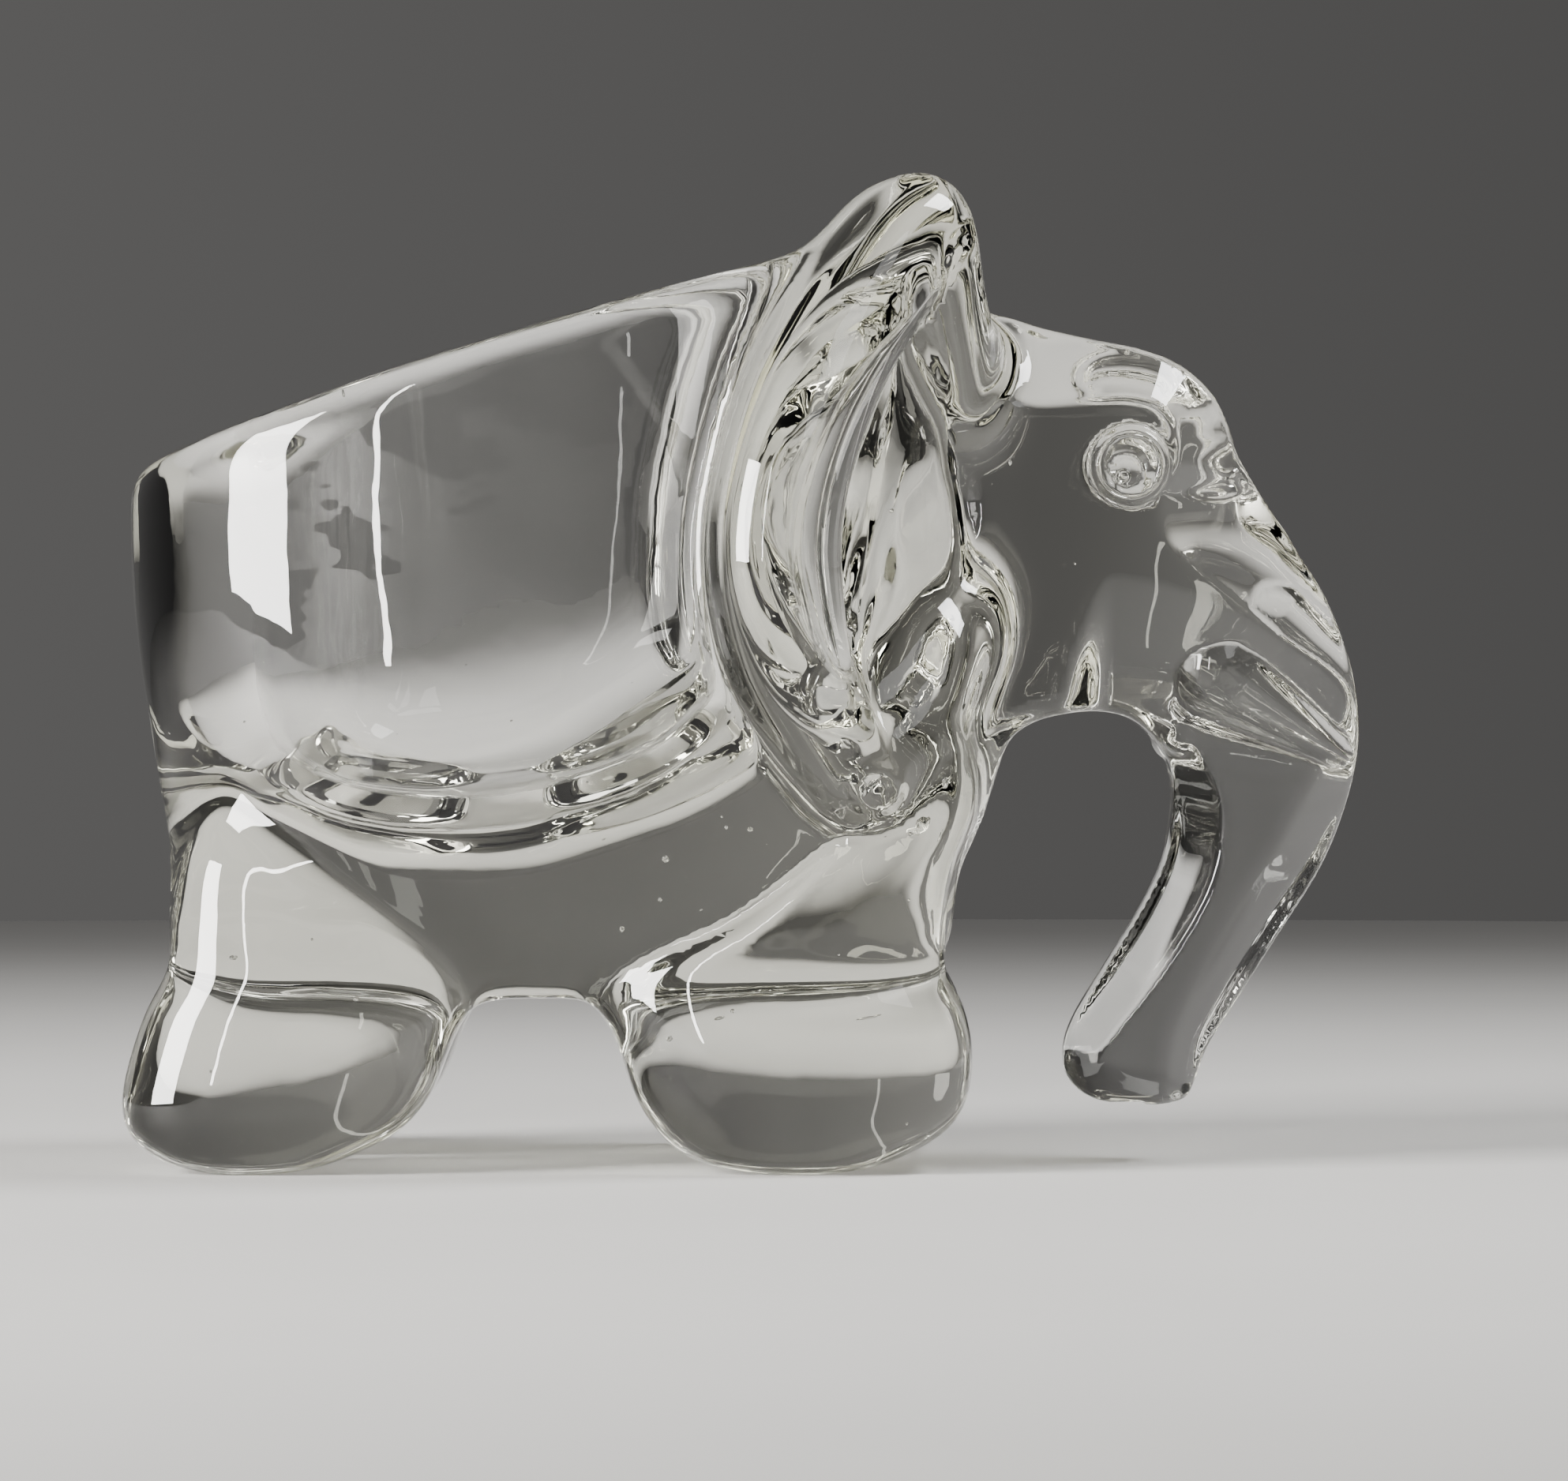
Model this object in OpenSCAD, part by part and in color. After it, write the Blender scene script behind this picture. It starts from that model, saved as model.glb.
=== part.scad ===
/* Clear pressed-glass elephant with an open-backed, hollow body.
   +X points to the head, +Y to the animal's left, +Z up.
   The origin is on the ground under the middle of its overall length. */

/* [Overall] */
// Tip of the trunk's curve to the rump
overall_length = 120; // [119:0.5:121]
// Ground to the top of the ears
overall_height = 96; // [95:0.5:97]
// Width over the ears
overall_width = 84; // [82:0.5:86]

/* [Bowl] */
// Width of the bowl across the flanks
bowl_width = 66; // [64:0.5:68]
// Thickness of the glass at the flanks
flank_wall = 6.5; // [5:0.25:8]
// Thickness of the glass at the rump
rump_wall = 9; // [7:0.5:11]
// Height of the bowl's floor inside
floor_height = 31; // [28:0.5:34]
// Height of the rim over the rump
rim_rear_height = 67.5; // [65:0.5:70]
// Height of the rim behind the head
rim_front_height = 89.5; // [88:0.5:91]
// Radius of the rim's long arch, seen from the side
rim_arch = 480; // [400:10:600]

/* [Feet] */
// Height of each foot up to its ankle crease
foot_height = 19; // [18:0.5:20]
// Length of a front foot
front_foot_length = 34.5; // [33:0.5:36]
// Length of a rear foot
rear_foot_length = 31.5; // [30:0.5:33]
// Width of a foot
foot_width = 26; // [24:0.5:27]
// Distance from the middle plane to a foot's middle
foot_spread = 17.5; // [16:0.5:18]

/* [Head] */
// Width of the head at the cheeks
head_width = 33; // [31:0.5:35]
// Diameter of the raised ring round each eye
eye_diameter = 7.6; // [6.5:0.1:8.5]
// Diameter of the bead inside the eye ring
pupil_diameter = 3.4; // [2.5:0.1:4]

/* [Ears] */
// Angle that the ears turn back from straight out
ear_sweep = 46; // [42:1:50]
// Thickness of the rolled edge of an ear
ear_edge = 11; // [10:0.5:12]
// Thickness of the dished blade inside that edge
ear_blade = 5; // [4:0.5:6]

/* [Trunk] */
// Width of the trunk where it leaves the head
trunk_root_width = 18; // [16:0.5:20]
// Width of the trunk at its tip
trunk_tip_width = 12; // [10:0.5:13]

/* [Hidden] */

glass = [0.86, 0.90, 0.88];
slice_points = 44;
skin = 0.01;
big = 400;

half_length = overall_length / 2;
half_width = bowl_width / 2;
cheek = head_width / 2;
left = 1;
right = -1;

// Ends of the bowl, and the front end of its rim
rump_x = -half_length + 0.7;
chest_x = 20;
rim_front_x = 12;

// Middle of each pair of feet
front_foot_x = 4.9;
rear_foot_x = -half_length + rear_foot_length / 2;

// How far a foot's top lies in front of its sole
front_slant = -2.2;
rear_slant = 4.6;

// How far a leg's top lies in front of its ankle
shoulder_lean = 9;
haunch_lean = -1;

// Smooth curve through a list of points; t runs from 0 to len(p) - 1
function spline(p, t) =
    let (
        last = len(p) - 1,
        i = min(floor(t), last - 1),
        f = t - i,
        a = p[max(i - 1, 0)],
        b = p[i],
        c = p[i + 1],
        d = p[min(i + 2, last)]
    )
    0.5 * (2 * b + (c - a) * f + (2 * a - 5 * b + 4 * c - d) * f * f
        + (3 * b - a - 3 * c + d) * f * f * f);

// Outline between an ellipse (squareness 2) and a rectangle (squareness 5 or more)
function superellipse(half_a, half_b, squareness) = [
    for (i = [0 : slice_points - 1])
        let (angle = 360 * i / slice_points, c = cos(angle), s = sin(angle))
        [
            half_a * sign(c) * pow(abs(c), 2 / squareness),
            half_b * sign(s) * pow(abs(s), 2 / squareness)
        ]
];

// A thin slice of a loft. Its row is [x, z, pitch, half depth, half width, squareness]
module slice(row) {
    translate([row[0], 0, row[1]])
        rotate([0, row[2], 0])
            linear_extrude(height = skin, center = true)
                polygon(superellipse(row[3], row[4], row[5]));
}

// A solid through a list of slices, smoothed between them
module loft(rows, steps) {
    stretch = (len(rows) - 1) / steps;
    for (i = [0 : steps - 1]) {
        hull() {
            slice(spline(rows, i * stretch));
            slice(spline(rows, (i + 1) * stretch));
        }
    }
}

// A level slice of the bowl or a leg, from its rear and front ends
function level(z, rear, front, half_w, squareness) =
    [(rear + front) / 2, z, 0, (front - rear) / 2, half_w, squareness];

// An upright slice of the head, from its lower and upper edges
function upright(x, low, high, half_w, squareness) =
    [x, (low + high) / 2, 90, (high - low) / 2, half_w, squareness];

// ---- Bowl ----

// Outside of the bowl: flanks, rump, belly and chest
module bowl_outside() {
    loft([
        level(16.5, -45, 10, half_width - 15, 2.8),
        level(20, -53, 18, half_width - 8, 2.8),
        level(30, rump_x + 3, chest_x + 1, half_width - 2.5, 2.8),
        level(42, rump_x + 1, chest_x + 4, half_width, 2.8),
        level(56, rump_x - 0.3, chest_x + 3, half_width, 2.8),
        level(72, rump_x, chest_x + 1, half_width - 1, 2.8),
        level(96, rump_x + 1, chest_x, half_width - 3, 2.8)
    ], 12);
}

// Inside of the bowl, with a rounded floor that rises towards the head
module bowl_inside() {
    rear = rump_x + rump_wall;
    inner_width = half_width - flank_wall;
    loft([
        level(floor_height, -36, -14, 10, 2),
        level(floor_height + 2.5, -42, -5, inner_width - 8, 2.1),
        level(floor_height + 9, rear + 2, 4, inner_width - 2, 2.4),
        level(floor_height + 24, rear, 9, inner_width, 2.5),
        level(98, rear - 3, 12, inner_width + 0.5, 2.5)
    ], 12);
}

// Everything under the rim's long arch
module under_rim() {
    rear = [rump_x, rim_rear_height];
    front = [rim_front_x, rim_front_height];
    middle = (rear + front) / 2;
    chord = norm(front - rear);
    up = [rear[1] - front[1], front[0] - rear[0]] / chord;
    centre = middle - up * sqrt(rim_arch * rim_arch - chord * chord / 4);
    translate([centre[0], 0, centre[1]])
        rotate([90, 0, 0])
            cylinder(r = rim_arch, h = big, center = true, $fn = 360);
}

module bowl_solid() {
    intersection() {
        bowl_outside();
        under_rim();
    }
}

module bowl() {
    color(glass)
        difference() {
            bowl_solid();
            bowl_inside();
        }
}

// ---- Head, trunk and mouth ----

// Cranium and cheeks: flat-sided, with a sloping crown
module head_solid() {
    loft([
        upright(10, 40, 82, cheek - 2, 3),
        upright(20, 41.5, 83.3, cheek, 3.2),
        upright(30, 43.6, 81, cheek, 3.4),
        upright(38, 44, 78.9, cheek - 0.4, 3.2),
        upright(44.5, 43.5, 76, cheek - 2.4, 3),
        upright(49.5, 43.5, 67.5, cheek - 4.5, 2.8),
        upright(54, 43, 60, cheek - 6.3, 2.6),
        upright(57.5, 43, 54, cheek - 7.6, 2.4),
        upright(half_length - 0.7, 43, 48, cheek - 9.5, 2.4)
    ], 16);
}

module head() {
    color(glass)
        difference() {
            head_solid();
            bowl_solid();
        }
}

// The trunk hangs from the face and curls back at its tip
module trunk_solid() {
    root = trunk_root_width / 2;
    tip = trunk_tip_width / 2;
    loft([
        [49.8, 46, 2, 10.1, root + 0.5, 2.8],
        [50.3, 39, 6, 9.4, root, 2.8],
        [48.8, 31, 18, 8.2, root - 1, 2.8],
        [44.9, 22.5, 28, 7.2, (root + tip) / 2, 2.8],
        [40.3, 15, 27, 6.6, tip + 0.4, 2.8],
        [37.6, 8.8, 14, 6.3, tip, 2.8],
        [37.2, 5.6, 2, 5.2, tip - 0.8, 2.6]
    ], 16);
}

module trunk() {
    color(glass)
        difference() {
            trunk_solid();
            head_solid();
        }
}

// Small step at the corner of the mouth, behind the trunk's root
module lip_solid() {
    loft([
        upright(37, 42, 46, 4.5, 2.2),
        upright(40, 40, 46, 6.4, 2.3),
        upright(44, 38.6, 46, 6.8, 2.3)
    ], 8);
}

module lower_lip() {
    color(glass)
        difference() {
            lip_solid();
            head_solid();
            trunk_solid();
        }
}

// ---- Ears ----

ear_top = overall_height - ear_edge / 2;
ear_reach = 32.6;
ear_steps = 18;

// Middle line of an ear's rolled edge, as [distance out from the ear's root, height]
ear_line = [
    [6, 77], [8.5, 87], [13, ear_top], [19, 84], [27, 71], [ear_reach, 59],
    [30, 49], [25, 41.5], [20, 38.6], [15.5, 47], [8, 58]
];
ear_root = [26, overall_width / 2 - ear_edge / 2 - ear_reach * cos(ear_sweep)];
ear_depth = 12;

function ear_point(step) = spline(ear_line, step * (len(ear_line) - 1) / ear_steps);

// Puts a shape drawn in the ear's own upright plane where the left ear is
module on_left_ear() {
    translate([ear_root[0], ear_root[1], 0])
        rotate([0, 0, 90 + ear_sweep])
            children();
}

// The same shape, drawn again where it would touch the flank, straight in from the ear
module at_ear_and_flank() {
    on_left_ear()
        children();
    translate([0, ear_depth, 0])
        scale([1, 0.1, 1])
            on_left_ear()
                children();
}

// The rolled edge of the left ear, and its back wall down to the flank
module ear_edge_left() {
    for (i = [0 : ear_steps - 1]) {
        hull() {
            for (point = [ear_point(i), ear_point(i + 1)]) {
                at_ear_and_flank()
                    translate([point[0], 0, point[1]])
                        sphere(d = ear_edge, $fn = 16);
            }
        }
    }
}

// The dished blade inside that edge, solid down to the flank
module ear_blade_left() {
    hull() {
        at_ear_and_flank()
            rotate([90, 0, 0])
                linear_extrude(height = ear_blade, center = true)
                    polygon([for (i = [0 : ear_steps]) ear_point(i)]);
    }
}

module ear(side) {
    color(glass)
        difference() {
            mirror([0, side == right ? 1 : 0, 0]) {
                ear_edge_left();
                ear_blade_left();
            }
            bowl_solid();
            bowl_inside();
            head_solid();
            leg_solid(front_foot_x, side, front_foot_length, front_slant, shoulder_lean);
        }
}

// ---- Eyes and tusks ----

eye_place = [37.2, cheek - 1.6, 67.8];

// A raised ring round a small bead, on a low boss
module eye(side) {
    tube = 1.1;
    color(glass)
        difference() {
            translate([eye_place[0], side * eye_place[1], eye_place[2]])
                rotate([-90 * side, 0, 0]) {
                    cylinder(d = eye_diameter - tube, h = 2, $fn = 32);
                    translate([0, 0, 2])
                        rotate_extrude($fn = 32)
                            translate([eye_diameter / 2 - tube, 0])
                                circle(r = tube, $fn = 16);
                    translate([0, 0, 1.6])
                        sphere(d = pupil_diameter, $fn = 24);
                }
            head_solid();
        }
}

// A short tusk in relief along the side of the trunk's root
module tusk(side) {
    base = [46, trunk_root_width / 2 + 0.6, 48.2];
    tip = [58, trunk_root_width / 2 - 2.6, 39.8];
    steps = 4;
    color(glass)
        difference() {
            for (i = [0 : steps - 1]) {
                hull() {
                    for (part = [i, i + 1] / steps) {
                        spot = base + (tip - base) * part;
                        translate([spot[0], side * spot[1], spot[2]])
                            sphere(r = 4.6 - 3.2 * part, $fn = 24);
                    }
                }
            }
            head_solid();
            trunk_solid();
        }
}

// ---- Legs and feet ----

// Shoulder or haunch: the swelling of a leg over its foot, up to where it meets the bowl
module leg_solid(x, side, length, slant, lean) {
    half = length / 2;
    ankle = slant / 2;
    translate([x, side * foot_spread, skin])
        loft([
            [ankle, foot_height, 0, half - 1.4, foot_width / 2 - 1.2, 3],
            [ankle + lean * 0.2, foot_height + 5, 0, half - 3, foot_width / 2 - 0.8, 2.8],
            [ankle + lean * 0.6, foot_height + 13, 0, half - 6.5, foot_width / 2 - 2, 2.6],
            [ankle + lean, foot_height + 21, 0, half - 10, foot_width / 2 - 5, 2.4]
        ], 8);
}

module leg(x, side, length, slant, lean) {
    color(glass)
        difference() {
            leg_solid(x, side, length, slant, lean);
            bowl_solid();
        }
}

// One level of a foot: its height, how far it draws in from the foot's length and width
function foot_level(z, draw_length, draw_width, length, slant) =
    [
        slant * (z / foot_height - 0.5), z, 0,
        length / 2 - draw_length, foot_width / 2 - draw_width, 3
    ];

// A foot is a rounded block that bulges between its sole and its ankle crease
module foot(x, side, length, slant) {
    color(glass)
        difference() {
            translate([x, side * foot_spread, 0])
                loft([
                    foot_level(0, 8.5, 3.4, length, slant),
                    foot_level(1.4, 5.6, 1.7, length, slant),
                    foot_level(5, 1.9, 0.3, length, slant),
                    foot_level(9, 0, 0, length, slant),
                    foot_level(14, 0, 0.3, length, slant),
                    foot_level(foot_height, 1.4, 1.2, length, slant)
                ], 10);
            bowl_solid();
        }
}

module front_leg(side) {
    leg(front_foot_x, side, front_foot_length, front_slant, shoulder_lean);
}

module rear_leg(side) {
    leg(rear_foot_x, side, rear_foot_length, rear_slant, haunch_lean);
}

module front_foot(side) {
    foot(front_foot_x, side, front_foot_length, front_slant);
}

module rear_foot(side) {
    foot(rear_foot_x, side, rear_foot_length, rear_slant);
}

bowl();
head();
trunk();
lower_lip();
ear(left);  // ear_left
ear(right);  // ear_right
eye(left);  // eye_left
eye(right);  // eye_right
tusk(left);  // tusk_left
tusk(right);  // tusk_right
front_leg(left);  // leg_front_left
front_leg(right);  // leg_front_right
rear_leg(left);  // leg_rear_left
rear_leg(right);  // leg_rear_right
front_foot(left);  // foot_front_left
front_foot(right);  // foot_front_right
rear_foot(left);  // foot_rear_left
rear_foot(right);  // foot_rear_right
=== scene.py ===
"""Clear pressed-glass elephant with an open, hollow back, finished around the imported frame.

The real object is one casting of solid glass, so its skin is one closed mesh. The skin is
worked out from a distance field: rounded forms placed by the CAD nodes' boxes, blended as
molten glass blends them. Field lengths are millimetres; Blender's are metres.
"""

import math

import bmesh
import bpy
import numpy as np
import openvdb
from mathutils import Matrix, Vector


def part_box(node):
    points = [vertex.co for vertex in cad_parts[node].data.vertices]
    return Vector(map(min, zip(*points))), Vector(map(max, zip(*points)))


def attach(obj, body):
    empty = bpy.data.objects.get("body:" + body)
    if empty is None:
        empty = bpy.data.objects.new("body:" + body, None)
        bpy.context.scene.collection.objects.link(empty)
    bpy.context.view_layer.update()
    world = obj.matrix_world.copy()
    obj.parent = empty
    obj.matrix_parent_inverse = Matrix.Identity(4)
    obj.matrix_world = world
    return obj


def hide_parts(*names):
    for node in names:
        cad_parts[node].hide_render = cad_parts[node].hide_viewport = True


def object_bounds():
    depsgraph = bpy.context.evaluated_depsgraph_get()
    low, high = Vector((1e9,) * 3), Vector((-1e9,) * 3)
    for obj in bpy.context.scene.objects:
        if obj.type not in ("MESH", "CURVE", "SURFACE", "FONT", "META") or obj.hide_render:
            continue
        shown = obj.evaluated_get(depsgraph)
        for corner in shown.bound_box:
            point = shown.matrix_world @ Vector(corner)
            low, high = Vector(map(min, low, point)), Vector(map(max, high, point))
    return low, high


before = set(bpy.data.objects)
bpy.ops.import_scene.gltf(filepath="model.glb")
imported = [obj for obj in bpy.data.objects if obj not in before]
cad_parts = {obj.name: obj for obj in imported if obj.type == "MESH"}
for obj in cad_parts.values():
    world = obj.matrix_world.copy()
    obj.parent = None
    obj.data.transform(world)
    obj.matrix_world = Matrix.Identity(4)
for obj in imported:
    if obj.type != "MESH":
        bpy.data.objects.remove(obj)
cad_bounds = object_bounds()

MM = 1000.0
LEFT, RIGHT = 1, -1


# ---------------------------------------------------------------- the frame's boxes

class Box:
    """The box round one or more CAD nodes, in millimetres. Its methods turn fractions of it into places."""

    def __init__(self, *nodes):
        corners = [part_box(n) for n in nodes]
        self.low = [min(c[0][i] for c in corners) * MM for i in range(3)]
        self.high = [max(c[1][i] for c in corners) * MM for i in range(3)]
        self.size = [h - l for h, l in zip(self.high, self.low)]

    def x(self, u):
        return self.low[0] + u * self.size[0]

    def y(self, v):
        return self.low[1] + v * self.size[1]

    def z(self, w):
        return self.low[2] + w * self.size[2]

    def outline(self, points):
        return [(self.x(u), self.z(w)) for u, w in points]


bowl = Box("bowl")
face = Box("head", "trunk")
head = Box("head")
trunk = Box("trunk")
ear = Box("ear_left")
eye = Box("eye_left")
tusk = Box("tusk_left")
lip = Box("lower_lip")
front_limb = Box("leg_front_left", "foot_front_left")
rear_limb = Box("leg_rear_left", "foot_rear_left")


# ---------------------------------------------------------------- field building blocks

def union(a, b, blend):
    """Joins two fields with a fillet about as wide as blend."""
    h = np.maximum(blend - np.abs(a - b), 0) / blend
    return np.minimum(a, b) - h * h * h * blend / 6


def cut(a, b, blend):
    """What a and b share, with its edges rounded."""
    return -union(-a, -b, blend)


def smooth_step(t):
    t = np.clip(t, 0, 1)
    return t * t * (3 - 2 * t)


def spline_points(points, per_span, closed):
    """Points along a Catmull-Rom curve through the given ones."""
    p = np.array(points, float)
    n = len(p)
    spans = n if closed else n - 1
    out = []
    for i in range(spans):
        if closed:
            a, b, c, d = (p[(i + k) % n] for k in (-1, 0, 1, 2))
        else:
            a, b, c, d = p[max(i - 1, 0)], p[i], p[i + 1], p[min(i + 2, n - 1)]
        for s in range(per_span):
            f = s / per_span
            out.append(
                0.5 * (2 * b + (c - a) * f + (2 * a - 5 * b + 4 * c - d) * f**2
                       + (3 * b - a - 3 * c + d) * f**3)
            )
    if not closed:
        out.append(p[-1])
    return np.array(out)


class Curve:
    """Values that change smoothly along one coordinate, through given stations."""

    def __init__(self, stations):
        rows = spline_points(sorted(stations), 24, closed=False)
        self.at = rows[:, 0]
        self.values = rows[:, 1:]

    def __call__(self, t):
        return [np.interp(t, self.at, self.values[:, i]) for i in range(self.values.shape[1])]


class Outline:
    """Signed distance to a closed smooth outline in a plane, kept on a fine grid."""

    STEP = 0.25
    MARGIN = 14.0

    def __init__(self, points):
        loop = spline_points(points, 12, closed=True)
        self.origin = loop.min(0) - self.MARGIN
        count = np.ceil((loop.max(0) + self.MARGIN - self.origin) / self.STEP).astype(int) + 1
        u = self.origin[0] + np.arange(count[0]) * self.STEP
        v = self.origin[1] + np.arange(count[1]) * self.STEP
        u, v = np.meshgrid(u, v, indexing="ij")
        nearest = np.full(u.shape, np.inf)
        inside = np.zeros(u.shape, bool)
        for a, b in zip(loop, np.roll(loop, -1, axis=0)):
            d = b - a
            t = np.clip(((u - a[0]) * d[0] + (v - a[1]) * d[1]) / (d @ d + 1e-12), 0, 1)
            nearest = np.minimum(nearest, (u - a[0] - t * d[0]) ** 2 + (v - a[1] - t * d[1]) ** 2)
            crosses = (a[1] > v) != (b[1] > v)
            if abs(d[1]) > 1e-12:
                inside ^= crosses & (u < a[0] + (v - a[1]) * d[0] / d[1])
        field = np.sqrt(nearest) * np.where(inside, -1, 1)
        for _ in range(4):
            p = np.pad(field, 1, mode="edge")
            field = (p[:-2, 1:-1] + p[2:, 1:-1] + p[1:-1, :-2] + p[1:-1, 2:] + 4 * field) / 8
        self.field = field.astype(np.float32)

    def __call__(self, u, v):
        """Distance at (u, v), outside positive. Past the grid it grows with the way to the grid."""
        u, v = np.broadcast_arrays(u, v)
        gu = (u - self.origin[0]) / self.STEP
        gv = (v - self.origin[1]) / self.STEP
        cu = np.clip(gu, 0, self.field.shape[0] - 1.001)
        cv = np.clip(gv, 0, self.field.shape[1] - 1.001)
        i, j = cu.astype(int), cv.astype(int)
        fu, fv = cu - i, cv - j
        f = self.field
        near = f[i, j] * (1 - fu) * (1 - fv) + f[i + 1, j] * fu * (1 - fv)
        near = near + f[i, j + 1] * (1 - fu) * fv + f[i + 1, j + 1] * fu * fv
        return near + np.hypot(gu - cu, gv - cv) * self.STEP


def round_column(x, y, middle, half_x, half_y, squareness):
    """Distance to an upright column whose plan is a superellipse."""
    ax, ay = np.abs(x - middle) / half_x, np.abs(y) / half_y
    e = squareness
    g = (ax**e + ay**e + 1e-9) ** (1 / e)
    slope = np.sqrt((ax ** (e - 1) / half_x) ** 2 + (ay ** (e - 1) / half_y) ** 2) * g ** (1 - e)
    return (g - 1) / np.maximum(slope, 0.5 / np.maximum(half_x, half_y))


def taper(x, y, z, start, end, r_start, r_end):
    """Distance to a round bar between two points, with a different radius at each end."""
    a, b = np.array(start, float), np.array(end, float)
    d = b - a
    t = np.clip(((x - a[0]) * d[0] + (y - a[1]) * d[1] + (z - a[2]) * d[2]) / (d @ d), 0, 1)
    gap = np.sqrt((x - a[0] - t * d[0]) ** 2 + (y - a[1] - t * d[1]) ** 2 + (z - a[2] - t * d[2]) ** 2)
    return gap - (r_start + (r_end - r_start) * t)


# ---------------------------------------------------------------- the bowl

half_width = bowl.size[1] / 2
floor_z = bowl.z(0.2)
floor_x = bowl.x(0.38)

# Stations up the bowl: height, rear end, front end, half width, squareness
BOWL_OUTSIDE = Curve([
    (bowl.z(-0.05), bowl.x(0.10), bowl.x(0.86), half_width * 0.62, 2.8),
    (bowl.z(0.05), bowl.x(0.055), bowl.x(0.945), half_width * 0.80, 2.8),
    (bowl.z(0.18), bowl.x(0.045), bowl.x(0.965), half_width * 0.93, 2.8),
    (bowl.z(0.34), bowl.x(0.022), bowl.x(1.0), half_width, 2.8),
    (bowl.z(0.53), bowl.x(0.0), bowl.x(0.99), half_width, 2.8),
    (bowl.z(0.74), bowl.x(0.0), bowl.x(0.965), half_width * 0.975, 2.8),
    (bowl.z(1.1), bowl.x(0.01), bowl.x(0.95), half_width * 0.93, 2.8),
])
BOWL_INSIDE = Curve([
    (bowl.z(0.1), bowl.x(0.15), bowl.x(0.74), half_width * 0.70, 2.5),
    (bowl.z(0.32), bowl.x(0.125), bowl.x(0.78), half_width * 0.76, 2.5),
    (bowl.z(0.52), bowl.x(0.11), bowl.x(0.82), half_width * 0.80, 2.5),
    (bowl.z(1.1), bowl.x(0.09), bowl.x(0.855), half_width * 0.82, 2.5),
])
RIM_REAR = (bowl.x(0.0), bowl.z(0.68))
RIM_FRONT = (bowl.x(0.855), bowl.z(0.975))
RIM_ARCH = 480.0
# Roundings of the belly's edge, the rim, and the corner between the inner wall and the floor
BELLY_ROUND = 7.0
RIM_ROUND = 4.5
FLOOR_ROUND = 15.0
# How fast the floor rises from its middle, per square millimetre
RISE_ALONG = 0.010
RISE_ACROSS = 0.006


def rim_centre():
    """Middle of the rim's long arch, seen from the side."""
    (x0, z0), (x1, z1) = RIM_REAR, RIM_FRONT
    chord = math.hypot(x1 - x0, z1 - z0)
    drop = math.sqrt(RIM_ARCH**2 - chord**2 / 4)
    return (x0 + x1) / 2 + (z1 - z0) / chord * drop, (z0 + z1) / 2 - (x1 - x0) / chord * drop


RIM_X, RIM_Z = rim_centre()


def column(curve, x, y, z):
    rear, front, half, squareness = curve(z)
    return round_column(x, y, (rear + front) / 2, (front - rear) / 2, half, squareness)


def over_rim(x, z):
    """Height over the rim's arch."""
    return np.hypot(x - RIM_X, z - RIM_Z) - RIM_ARCH


def bowl_outside(x, y, z):
    side = column(BOWL_OUTSIDE, x, y, z)
    body = cut(side, bowl.low[2] - z, BELLY_ROUND)
    return cut(body, over_rim(x, z), RIM_ROUND)


def bowl_inside(x, y, z):
    side = column(BOWL_INSIDE, x, y, z)
    rise = RISE_ALONG * (x - floor_x) ** 2 + RISE_ACROSS * y * y
    return cut(side, floor_z + rise - z, FLOOR_ROUND)


# ---------------------------------------------------------------- the head and the trunk

FACE_OUTLINE = Outline(face.outline([
    (-0.166, 0.700), (-0.096, 0.900), (0.028, 0.984), (0.142, 0.988), (0.250, 0.973),
    (0.363, 0.959), (0.476, 0.947), (0.570, 0.927), (0.644, 0.892), (0.683, 0.853),
    (0.711, 0.813), (0.777, 0.759), (0.851, 0.704), (0.927, 0.635), (0.973, 0.565),
    (0.994, 0.496), (0.994, 0.436), (0.964, 0.367), (0.908, 0.297), (0.814, 0.218),
    (0.720, 0.139), (0.644, 0.074), (0.611, 0.030), (0.584, 0.008), (0.494, 0.000),
    (0.382, 0.007), (0.317, 0.030), (0.298, 0.064), (0.322, 0.109), (0.400, 0.178),
    (0.476, 0.243), (0.533, 0.307), (0.556, 0.372), (0.553, 0.421), (0.517, 0.458),
    (0.457, 0.486), (0.379, 0.496), (0.289, 0.493), (0.214, 0.481), (0.157, 0.456),
    (0.109, 0.397), (0.058, 0.329), (-0.044, 0.290), (-0.166, 0.355), (-0.199, 0.530),
]))
# Half width of the head along its length, and of the trunk up its height
HEAD_WIDTH = Curve([
    (head.x(-0.034), 15.8), (head.x(0.276), 16.4), (head.x(0.483), 16.2), (head.x(0.638), 14.9),
    (head.x(0.772), 12.6), (head.x(0.897), 10.2), (head.x(1.021), 8.2),
])
TRUNK_WIDTH = Curve([
    (trunk.z(-0.1), 4.9), (trunk.z(0.0), 5.3), (trunk.z(0.12), 6.1), (trunk.z(0.4), 7.4),
    (trunk.z(0.65), 8.2), (trunk.z(0.88), 9.2), (trunk.z(1.02), 11.2), (trunk.z(1.15), 15.0),
    (trunk.z(1.3), 20.0),
])
# Width of the bevel round the face up its height. It is narrowest by the tusk's tip
BEVEL = Curve([
    (face.z(-0.1), 2.4), (face.z(0.02), 2.9), (face.z(0.11), 4.2), (face.z(0.2), 4.9),
    (face.z(0.35), 5.0), (face.z(0.43), 3.4),
    (face.z(0.49), 1.2), (face.z(0.535), 1.4), (face.z(0.59), 5.4), (face.z(0.64), 8.4),
    (face.z(0.70), 10.4), (face.z(0.76), 9.0), (face.z(0.81), 6.0), (face.z(0.90), 4.4),
    (face.z(1.1), 4.4),
])
# The bevel is wider over the crown: x, z, reach, extra width
CROWN = (face.x(0.132), face.z(0.92), 10.0, 4.0)
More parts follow.
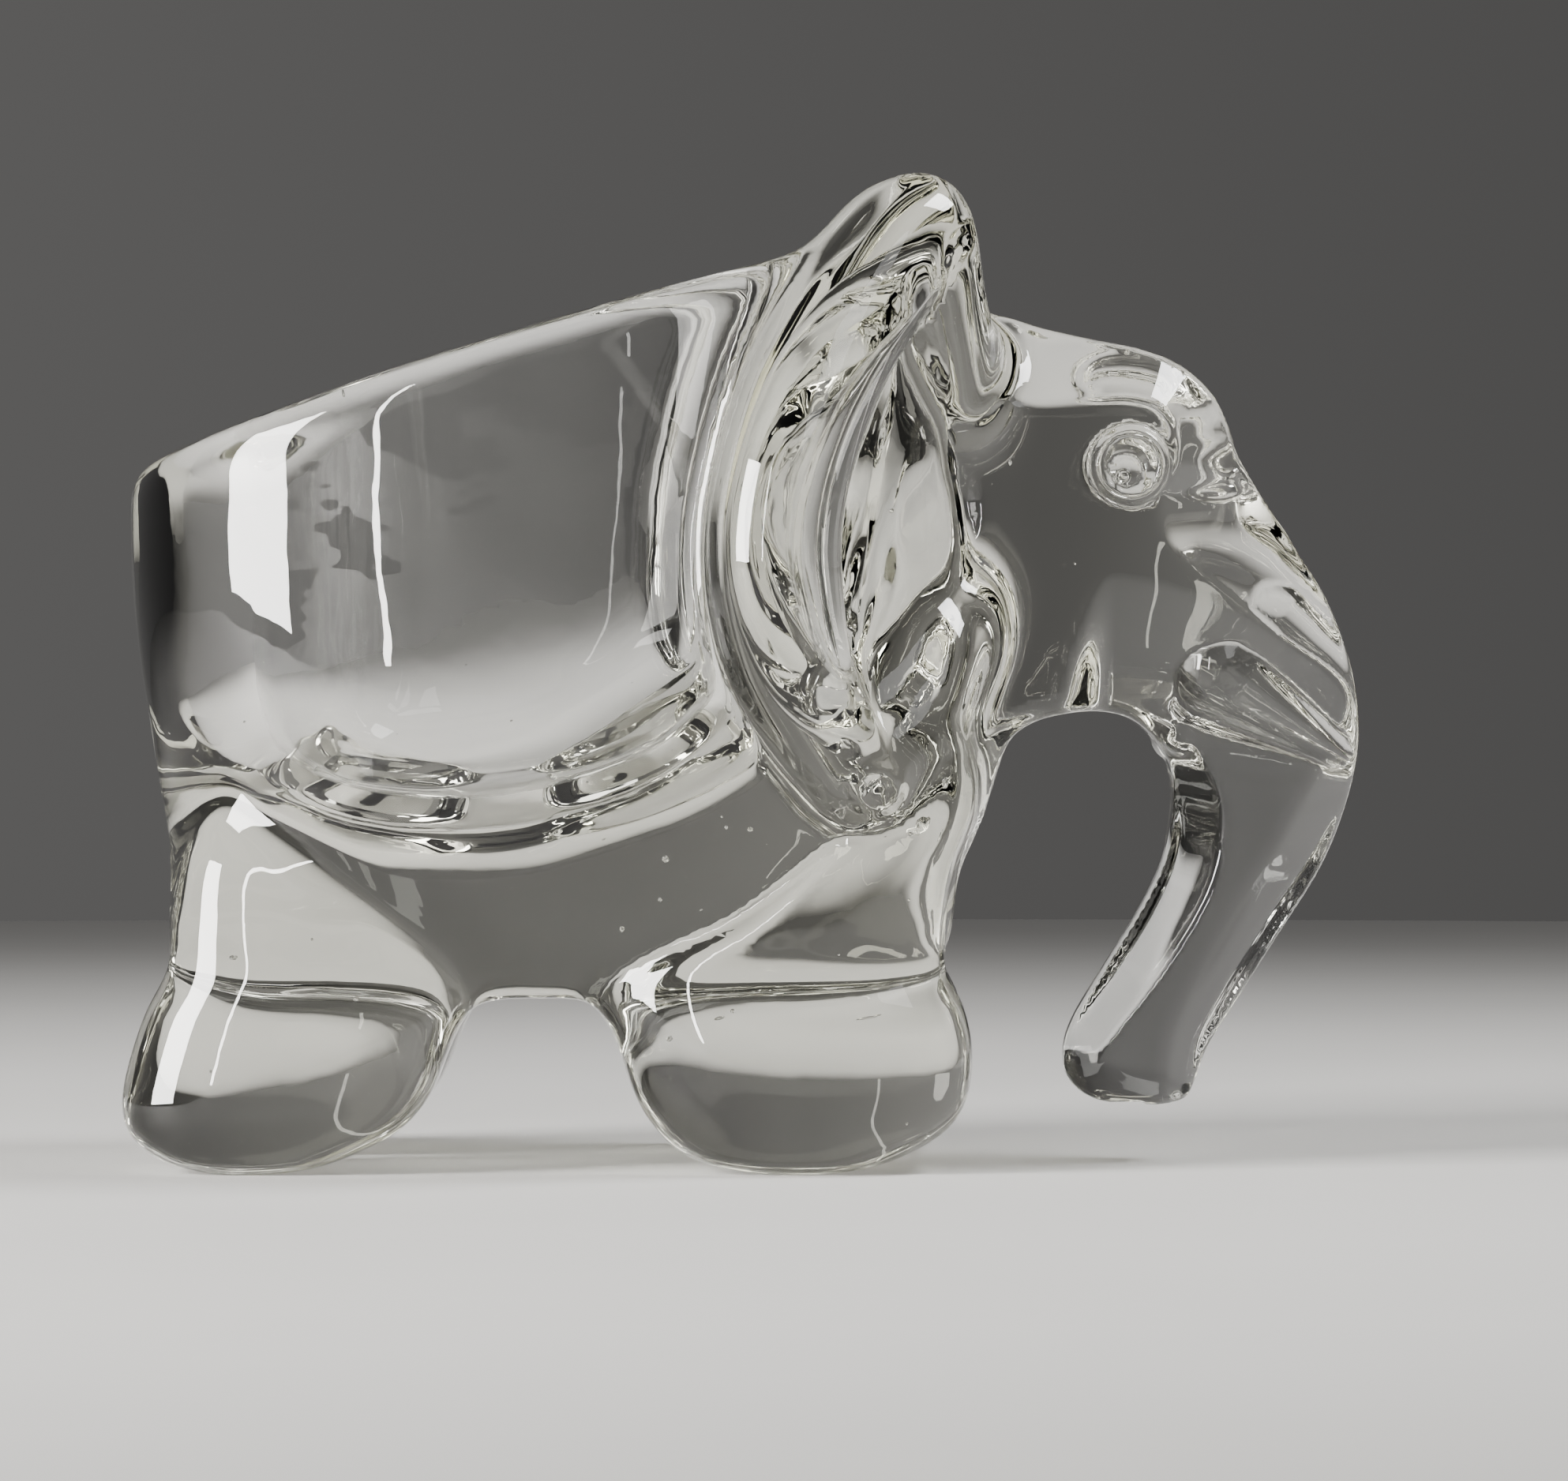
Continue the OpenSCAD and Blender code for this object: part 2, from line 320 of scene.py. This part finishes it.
# Hollow in the trunk's tip: half length, half width, half height
NOSTRIL = (3.2, 2.4, 1.8)


def bump(x, z, spot):
    return spot[3] * np.exp(-((x - spot[0]) ** 2 + (z - spot[1]) ** 2) / spot[2] ** 2)


def face_form(x, y, z):
    """Head and trunk: a flat-sided slab cut to their outline, with bevelled edges."""
    edge = FACE_OUTLINE(x, z)
    # Behind the trunk's root its width no longer counts, only the head's
    behind_trunk = 14 * smooth_step((trunk.x(0.15) - x) / 9) * smooth_step((z - trunk.z(0.6)) / 8)
    wide = union(HEAD_WIDTH(x)[0] + 0 * z, TRUNK_WIDTH(z)[0] + behind_trunk, 4.0)
    side = y - wide
    bevel = BEVEL(z)[0] + bump(x, z, CROWN)
    slab = cut(edge, side, 2.2)
    slab = cut(slab, (edge + side + bevel) * math.sqrt(0.5), 0.9)
    reach, spread, depth = NOSTRIL
    nostril = np.sqrt(((x - trunk.x(0.22)) / reach) ** 2 + (y / spread) ** 2
                      + ((z - trunk.low[2] + 0.2) / depth) ** 2) - 1
    return cut(slab, -nostril * depth, 0.6)


def lip_form(x, y, z):
    """The lower lip, a short bar across the corner of the mouth."""
    start = (lip.x(0.9), 0.0, lip.z(0.35))
    end = (lip.x(1.05), lip.high[1] * 1.1, lip.z(0.45))
    return taper(x, y, z, start, end, 2.0, 1.9)


def tusk_form(x, y, z):
    start = (tusk.x(0.22), tusk.low[1] + 4.2, tusk.z(0.75))
    end = (tusk.x(0.91), tusk.low[1] + 2.5, tusk.z(0.11))
    return taper(x, y, z, start, end, 4.6, 1.3)


def ear_mark(x, y, z):
    """How far a small round ring stands out from the bottom of the ear."""
    ring = np.hypot(x - ear.x(0.52), z - ear.z(0.06)) - 1.9
    return 0.5 * np.exp(-((ring / 0.7) ** 2)) * smooth_step((y - ear.y(0.4)) / 4)


def eye_form(x, y, z, d):
    """Adds the eye: a raised ring round a shallow dish with a bead in it."""
    ex, ey, ez = eye.x(0.5), HEAD_WIDTH(eye.x(0.5))[0], eye.z(0.5)
    ring = eye.size[0] / 2 - 1.05
    r = np.hypot(x - ex, z - ez)
    out = y - ey
    d = union(d, np.hypot(r - ring, out) - 1.05, 0.5)
    d = cut(d, 2.7 - np.sqrt(r * r + (out - 1.9) ** 2), 0.4)
    bead = np.sqrt((x - ex + 0.7) ** 2 + (z - ez + 1.0) ** 2 + (out + 0.9) ** 2) - 1.9
    return union(d, bead, 0.3)


# ---------------------------------------------------------------- the ears

# Radius of the rolled edge, and how much smaller it is at the bottom
EAR_EDGE = 6.2
EAR_EDGE_DROP = 2.0
EAR_SWEEP = math.radians(46)
EAR_ROOT_X = ear.x(0.964)
# How far the ear bends back towards its root, and over what distance
EAR_BEND = 5.5
EAR_BEND_REACH = 14.0
# Depth of the dish at its edge, extra depth in its middle, and the blade's half thickness
DISH = 1.0
DISH_MIDDLE = 2.6
HALF_BLADE = 3.0
# Middle line of the rolled edge, seen from the side
EAR_LINE = ear.outline([
    (0.702, 0.877), (0.656, 0.900), (0.566, 0.877), (0.462, 0.803), (0.359, 0.717),
    (0.274, 0.618), (0.217, 0.514), (0.197, 0.421), (0.212, 0.329), (0.251, 0.249),
    (0.315, 0.179), (0.385, 0.120), (0.462, 0.083), (0.558, 0.116), (0.661, 0.175),
    (0.772, 0.243), (0.893, 0.298), (0.996, 0.372), (1.043, 0.471), (1.030, 0.569),
    (0.953, 0.655), (0.842, 0.723), (0.754, 0.803),
])
EAR_TIP_X = min(x for x, z in EAR_LINE)
EAR_ROOT_Y = ear.high[1] - EAR_EDGE - (EAR_ROOT_X - EAR_TIP_X) / math.tan(EAR_SWEEP)
EAR_SEEN = Outline(EAR_LINE)
EAR_FLAT = Outline([((EAR_ROOT_X - x) / math.sin(EAR_SWEEP), z) for x, z in EAR_LINE])


def ear_form(x, y, z):
    """A rolled edge round a dished blade, solid behind down to the flank."""
    out = -(x - EAR_ROOT_X) * math.sin(EAR_SWEEP) + (y - EAR_ROOT_Y) * math.cos(EAR_SWEEP)
    front = (x - EAR_ROOT_X) * math.cos(EAR_SWEEP) + (y - EAR_ROOT_Y) * math.sin(EAR_SWEEP)
    front = front + EAR_BEND * smooth_step((EAR_BEND_REACH - out) / EAR_BEND_REACH)
    flat = EAR_FLAT(out, z)
    radius = EAR_EDGE - EAR_EDGE_DROP * smooth_step((ear.z(0.38) - z) / (0.34 * ear.size[2]))
    edge = np.sqrt(flat * flat + front * front) - radius
    dish = DISH + DISH_MIDDLE * smooth_step(-flat / 13)
    blade = cut(flat, np.abs(front + dish + HALF_BLADE) - HALF_BLADE, 2.5)
    behind = cut(EAR_SEEN(x, z) - radius + 0.5, front + 0.75 * radius, 3.0)
    behind = cut(behind, 13.0 - y, 6.0)
    behind = cut(behind, over_rim(x, z) - 1.0, 6.0)
    return union(union(edge, blade, 5.0), behind, 2.5)


# ---------------------------------------------------------------- legs and feet

FRONT_LIMB = Outline(front_limb.outline([
    (-0.045, 0.424), (-0.002, 0.328), (0.054, 0.193), (0.120, 0.096), (0.208, 0.039),
    (0.339, 0.008), (0.493, 0.000), (0.670, 0.006), (0.824, 0.039), (0.933, 0.096),
    (0.989, 0.174), (1.004, 0.280), (0.982, 0.386), (0.929, 0.492), (0.927, 0.598),
    (0.955, 0.733), (1.021, 0.887), (0.937, 1.049), (0.766, 0.950), (0.604, 0.775),
    (0.367, 0.600), (0.139, 0.512),
]))
REAR_LIMB = Outline(rear_limb.outline([
    (1.011, 0.427), (0.983, 0.323), (0.923, 0.194), (0.818, 0.090), (0.677, 0.032),
    (0.487, 0.002), (0.275, 0.000), (0.121, 0.032), (0.034, 0.086), (0.004, 0.172),
    (0.020, 0.281), (0.074, 0.431), (0.138, 0.557), (0.157, 0.690), (0.208, 0.850),
    (0.342, 0.956), (0.516, 0.914), (0.659, 0.786), (0.829, 0.629), (0.982, 0.516),
]))


def rows_up(box, rows):
    """Rows of height, rear end, front end and half width, from fractions of a leg and foot's box."""
    return Curve([(box.z(w), box.x(u0), box.x(u1), half) for w, u0, u1, half in rows])


FRONT_ROWS = rows_up(front_limb, [
    (-0.050, 0.371, 0.676, 9.0), (0.000, 0.294, 0.734, 10.4), (0.030, 0.194, 0.810, 11.6),
    (0.100, 0.119, 0.934, 12.7), (0.180, 0.058, 0.989, 13.0), (0.290, 0.018, 1.004, 13.0),
    (0.390, -0.023, 0.982, 12.6), (0.490, -0.011, 0.930, 12.1), (0.600, 0.142, 0.929, 12.2),
    (0.720, 0.390, 0.953, 11.8), (0.830, 0.581, 0.992, 10.6), (1.000, 0.696, 1.020, 8.6),
])
REAR_ROWS = rows_up(rear_limb, [
    (-0.053, 0.270, 0.536, 9.0), (0.000, 0.198, 0.618, 10.4), (0.032, 0.106, 0.690, 11.6),
    (0.106, 0.027, 0.833, 12.7), (0.191, 0.004, 0.922, 13.0), (0.319, 0.032, 0.983, 13.0),
    (0.425, 0.071, 1.011, 12.6), (0.542, 0.139, 0.987, 12.0), (0.659, 0.157, 0.884, 11.5),
    (0.829, 0.193, 0.700, 9.8), (0.978, 0.270, 0.577, 6.8), (1.116, 0.331, 0.516, 3.8),
])


def limb_form(x, y, z, seen, rows, box):
    """A leg and its foot: a rounded block, trimmed to its outline."""
    rear, front, half = rows(z)
    block = round_column(x, y - box.y(0.5), (rear + front) / 2, (front - rear) / 2 + 0.3, half, 3.0)
    return cut(seen(x, z), block, 3.0)


# ---------------------------------------------------------------- the whole casting

# Fillets where the forms run into the bowl and into each other
SHOULDER_BLEND = 4.5
HAUNCH_BLEND = 7.0
NECK_BLEND = 5.0
EAR_BLEND = 4.5
LIP_BLEND = 0.8
TUSK_BLEND = 0.7
HOLLOW_BLEND = 3.5
# How many seed bubbles each region gets
BUBBLES = ((front_limb, 26), (rear_limb, 10), (bowl, 22), (head, 6))


def ripple(x, y, z):
    """The faint unevenness of pressed glass."""
    a = np.sin(0.31 * x + 0.23 * z + 0.7) * np.sin(0.27 * y - 0.19 * z + 1.1)
    b = np.sin(0.17 * x - 0.41 * z + 2.3) * np.sin(0.37 * y + 0.11 * x)
    return 0.02 * a + 0.015 * b


def casting_field(x, signed_y, z):
    """Distance from the glass skin in millimetres, negative inside the glass."""
    y = np.abs(signed_y)
    d = bowl_outside(x, y, z)
    d = union(d, limb_form(x, y, z, FRONT_LIMB, FRONT_ROWS, front_limb), SHOULDER_BLEND)
    d = union(d, limb_form(x, y, z, REAR_LIMB, REAR_ROWS, rear_limb), HAUNCH_BLEND)
    d = union(d, face_form(x, y, z), NECK_BLEND)
    d = union(d, ear_form(x, y, z), EAR_BLEND) - ear_mark(x, y, z)
    d = union(d, lip_form(x, y, z), LIP_BLEND)
    d = union(d, tusk_form(x, y, z), TUSK_BLEND)
    d = eye_form(x, y, z, d)
    d = cut(d, -bowl_inside(x, y, z), HOLLOW_BLEND)
    return d + ripple(x, signed_y, z)


def graded(low, high, step):
    """Grid lines from low to high whose spacing follows step(position)."""
    lines = [low]
    while lines[-1] < high:
        lines.append(lines[-1] + step(lines[-1]))
    return np.array(lines)


def gradient(p, h):
    g = np.empty_like(p)
    for i in range(3):
        e = np.zeros(3)
        e[i] = h
        g[:, i] = (casting_field(*(p + e).T) - casting_field(*(p - e).T)) / (2 * h)
    return g


def settle(p, passes):
    """Moves points onto the glass skin along the field's slope."""
    for _ in range(passes):
        g = gradient(p, 0.12)
        step = casting_field(*p.T) / np.maximum((g * g).sum(1), 0.05)
        p = p - np.clip(step, -0.5, 0.5)[:, None] * g
    return p


def relax(p, quads, passes):
    """Evens out the quads: each point moves towards its neighbours' middle, then back to the skin."""
    edges = np.vstack([quads[:, [k, (k + 1) % 4]] for k in range(4)])
    edges = np.vstack([edges, edges[:, ::-1]])
    count = np.bincount(edges[:, 0], minlength=len(p))[:, None]
    for _ in range(passes):
        total = np.stack(
            [np.bincount(edges[:, 0], p[edges[:, 1], i], len(p)) for i in range(3)], axis=1)
        p = settle(p + 0.5 * (total / count - p), 1)
    return p


def casting_mesh():
    """Points and quads of the glass skin. The grid is finer round the eyes and the tusks."""
    coarse = 1.0

    def steps(fine_low, fine_high, fine, plain):
        return lambda at: coarse * (fine if fine_low < at < fine_high else plain)

    xs = graded(bowl.low[0] - 3, trunk.high[0] + 3,
                steps(eye.low[0] - 1, tusk.high[0] + 1, 0.51, 0.96))
    half_y = graded(0.0, ear.high[1] + 3, steps(eye.low[1] - 3, eye.high[1] + 1, 0.53, 0.91))
    zs = graded(-3.0, ear.high[2] + 3, steps(tusk.low[2] - 1, eye.high[2] + 1, 0.59, 0.91))
    x, y, z = np.meshgrid(xs, half_y, zs, indexing="ij", sparse=True)
    half = casting_field(x, y, z).astype(np.float32)
    field = np.concatenate([half[:, :0:-1], half], axis=1)
    ys = np.concatenate([-half_y[:0:-1], half_y])
    grid = openvdb.FloatGrid(background=5.0)
    grid.copyFromArray(np.ascontiguousarray(field))
    places, quads = grid.convertToQuads(isovalue=0.0)
    p = np.stack(
        [np.interp(places[:, i], np.arange(len(line)), line) for i, line in enumerate((xs, ys, zs))],
        axis=1)
    p = settle(p, 2)
    p = relax(p, quads, 3)
    p = settle(p, 2)
    p[:, 2] = np.maximum(p[:, 2], 0)
    return p, quads


def seed_bubbles():
    """Tiny bubbles trapped in the glass, as hollows: skins whose outside faces the bubble's middle."""
    ball = bmesh.new()
    bmesh.ops.create_icosphere(ball, subdivisions=2, radius=1.0)
    shape = np.array([v.co for v in ball.verts])
    faces = [[v.index for v in f.verts][::-1] for f in ball.faces]
    ball.free()
    rng = np.random.default_rng(11)
    places = []
    for box, count in BUBBLES:
        tries = 0
        while count and tries < 4000:
            tries += 1
            side = rng.choice([LEFT, RIGHT])
            p = np.array([rng.uniform(l, h) for l, h in zip(box.low, box.high)])
            p[1] = side * abs(p[1])
            radius = rng.uniform(0.10, 0.24) if rng.random() < 0.85 else rng.uniform(0.24, 0.36)
            stretch = 1.0 if rng.random() < 0.8 else rng.uniform(2.0, 6.0)
            if casting_field(*p) < -(radius * stretch + 0.8):
                places.append((p, np.array([radius, radius, radius * stretch])))
                count -= 1
    points = np.concatenate([p + shape * size for p, size in places])
    normals = np.concatenate([-shape / size * min(size) for p, size in places])
    rings = [[i + k * len(shape) for i in f] for k in range(len(places)) for f in faces]
    return points, normals, rings


def mesh_object(name, points, faces, normals):
    mesh = bpy.data.meshes.new(name)
    mesh.from_pydata((points / MM).tolist(), [], faces)
    mesh.update()
    mesh.shade_smooth()
    mesh.normals_split_custom_set_from_vertices(normals.tolist())
    piece = bpy.data.objects.new(name, mesh)
    bpy.context.scene.collection.objects.link(piece)
    return piece


def casting():
    p, quads = casting_mesh()
    a, b, c = p[quads[:, 0]], p[quads[:, 1]], p[quads[:, 2]]
    g = gradient(p, 0.3)
    outward = (np.cross(b - a, c - a) * g[quads[:, 0]]).sum(1)
    if np.median(outward) < 0:
        quads = quads[:, ::-1]
    bubbles, inward, rings = seed_bubbles()
    points = np.concatenate([p, bubbles])
    normals = np.concatenate([g, inward])
    normals /= np.linalg.norm(normals, axis=1)[:, None]
    faces = quads.tolist() + [[i + len(p) for i in f] for f in rings]
    return mesh_object("glass_casting", points, faces, normals)


# ---------------------------------------------------------------- materials

def new_material(name):
    material = bpy.data.materials.new(name)
    material.use_nodes = True
    return material, material.node_tree.nodes, material.node_tree.links


def glass_material():
    """Clear pressed glass, a trace of yellow in its depth, fire-polished skin."""
    material, nodes, links = new_material("clear_pressed_glass")
    shader = nodes["Principled BSDF"]
    shader.inputs["Base Color"].default_value = (1.0, 1.0, 1.0, 1.0)
    shader.inputs["IOR"].default_value = 1.5
    shader.inputs["Transmission Weight"].default_value = 1.0
    where = nodes.new("ShaderNodeTexCoord")
    # Handling marks: faint patches that are a little less polished
    marks = nodes.new("ShaderNodeTexNoise")
    marks.inputs["Scale"].default_value = 38.0
    marks.inputs["Detail"].default_value = 5.0
    marks.inputs["Roughness"].default_value = 0.65
    polish = nodes.new("ShaderNodeMapRange")
    polish.inputs["From Min"].default_value = 0.45
    polish.inputs["From Max"].default_value = 0.85
    polish.inputs["To Min"].default_value = 0.004
    polish.inputs["To Max"].default_value = 0.035
    links.new(where.outputs["Object"], marks.inputs["Vector"])
    links.new(marks.outputs["Fac"], polish.inputs["Value"])
    links.new(polish.outputs["Result"], shader.inputs["Roughness"])
    # Chill wrinkles: the fine waviness left by the mould
    wrinkles = nodes.new("ShaderNodeTexNoise")
    wrinkles.inputs["Scale"].default_value = 160.0
    wrinkles.inputs["Detail"].default_value = 2.0
    relief = nodes.new("ShaderNodeBump")
    relief.inputs["Strength"].default_value = 0.12
    relief.inputs["Distance"].default_value = 0.00025
    links.new(where.outputs["Object"], wrinkles.inputs["Vector"])
    links.new(wrinkles.outputs["Fac"], relief.inputs["Height"])
    links.new(relief.outputs["Normal"], shader.inputs["Normal"])
    depth = nodes.new("ShaderNodeVolumeAbsorption")
    depth.inputs["Color"].default_value = (0.82, 0.81, 0.40, 1.0)
    depth.inputs["Density"].default_value = 4.0
    links.new(depth.outputs["Volume"], nodes["Material Output"].inputs["Volume"])
    return material


def floor_material():
    material, nodes, links = new_material("pale_floor")
    shader = nodes["Principled BSDF"]
    shader.inputs["Roughness"].default_value = 0.7
    grain = nodes.new("ShaderNodeTexNoise")
    grain.inputs["Scale"].default_value = 14.0
    grain.inputs["Detail"].default_value = 6.0
    tone = nodes.new("ShaderNodeMix")
    tone.data_type = "RGBA"
    tone.inputs["A"].default_value = (0.42, 0.415, 0.405, 1.0)
    tone.inputs["B"].default_value = (0.48, 0.475, 0.465, 1.0)
    links.new(grain.outputs["Fac"], tone.inputs["Factor"])
    # Painted light fall-off: the colour is darker towards its rim, a painted pool of light, so that the
    # floor runs out softly into the room
    where = nodes.new("ShaderNodeTexCoord")
    out = nodes.new("ShaderNodeVectorMath")
    out.operation = "LENGTH"
    painted_falloff = nodes.new("ShaderNodeMapRange")
    painted_falloff.interpolation_type = "SMOOTHSTEP"
    painted_falloff.inputs["From Min"].default_value = 0.16
    painted_falloff.inputs["From Max"].default_value = 0.70
    painted_falloff.inputs["To Min"].default_value = 1.0
    painted_falloff.inputs["To Max"].default_value = 0.30
    painted_darkening = nodes.new("ShaderNodeVectorMath")
    painted_darkening.operation = "SCALE"
    links.new(where.outputs["Object"], out.inputs[0])
    links.new(out.outputs["Value"], painted_falloff.inputs["Value"])
    links.new(tone.outputs["Result"], painted_darkening.inputs[0])
    links.new(painted_falloff.outputs["Result"], painted_darkening.inputs["Scale"])
    # The floor's colour, scaled down by the painted fall-off towards its rim
    links.new(painted_darkening.outputs["Vector"], shader.inputs["Base Color"])
    return material


# ---------------------------------------------------------------- the stage

def floor():
    radius, sides = 0.75, 160
    mesh = bpy.data.meshes.new("floor")
    rim = [math.tau * i / sides for i in range(sides)]
    mesh.from_pydata([(radius * math.cos(a), radius * math.sin(a), 0) for a in rim], [],
                     [list(range(sides))])
    piece = bpy.data.objects.new("floor", mesh)
    piece.data.materials.append(floor_material())
    bpy.context.scene.collection.objects.link(piece)


def soft_light(name, place, target, size, power, colour=(1, 1, 1)):
    lamp = bpy.data.lights.new(name, "AREA")
    lamp.shape = "RECTANGLE"
    lamp.size, lamp.size_y = size
    lamp.energy = power
    lamp.color = colour
    piece = bpy.data.objects.new(name, lamp)
    piece.location = place
    piece.rotation_euler = (Vector(target) - Vector(place)).to_track_quat("-Z", "Y").to_euler()
    bpy.context.scene.collection.objects.link(piece)


def studio():
    world = bpy.data.worlds.new("studio")
    world.use_nodes = True
    nodes, links = world.node_tree.nodes, world.node_tree.links
    # Dim all round, lighter on the window's side of the room
    where = nodes.new("ShaderNodeTexCoord")
    split = nodes.new("ShaderNodeSeparateXYZ")
    level = nodes.new("ShaderNodeMapRange")
    level.interpolation_type = "SMOOTHSTEP"
    level.inputs["From Min"].default_value = -0.9
    level.inputs["From Max"].default_value = 0.7
    level.inputs["To Min"].default_value = 0.42
    level.inputs["To Max"].default_value = 0.035
    links.new(where.outputs["Generated"], split.inputs["Vector"])
    links.new(split.outputs["X"], level.inputs["Value"])
    background = nodes["Background"]
    background.inputs["Color"].default_value = (0.50, 0.49, 0.48, 1.0)
    links.new(level.outputs["Result"], background.inputs["Strength"])
    bpy.context.scene.world = world
    middle = (0.0, 0.0, 0.045)
    soft_light("window", (-0.78, -0.50, 0.27), middle, (0.42, 0.52), 50.0, (1.0, 0.98, 0.95))
    soft_light("window_edge", (-0.36, -0.93, 0.27), middle, (0.022, 0.50), 2.6, (1.0, 0.98, 0.95))
    soft_light("fill", (0.6, -0.8, 0.7), middle, (0.5, 0.5), 2.5)
    soft_light("top", (0.38, 0.03, 0.52), middle, (0.20, 0.20), 5.0)


# Where the camera looks, in lengths and heights of the object, and how many lengths fit in the picture
AIM_ALONG = 0.533
AIM_UP = 0.429
LENGTHS_ACROSS = 1.278


def camera():
    """Square to the right flank, from far enough away that both flanks overlap."""
    lens = bpy.data.cameras.new("camera")
    piece = bpy.data.objects.new("camera", lens)
    bpy.context.scene.collection.objects.link(piece)
    low, high = cad_bounds
    length, height = high[0] - low[0], high[2] - low[2]
    aim = Vector((low[0] + AIM_ALONG * length, 0.0, low[2] + AIM_UP * height))
    away, lift = 1.0, math.radians(0.8)
    piece.location = aim + away * Vector((0, -math.cos(lift), math.sin(lift)))
    piece.rotation_euler = (aim - piece.location).to_track_quat("-Z", "Y").to_euler()
    lens.sensor_width = 36
    lens.lens = lens.sensor_width * away / (LENGTHS_ACROSS * length)
    bpy.context.scene.camera = piece


# ---------------------------------------------------------------- put together

piece = casting()
piece.data.materials.append(glass_material())
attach(piece, "root")
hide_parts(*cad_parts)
floor()
studio()
camera()
bpy.context.scene.cycles.max_bounces = 24
bpy.context.scene.cycles.transmission_bounces = 24
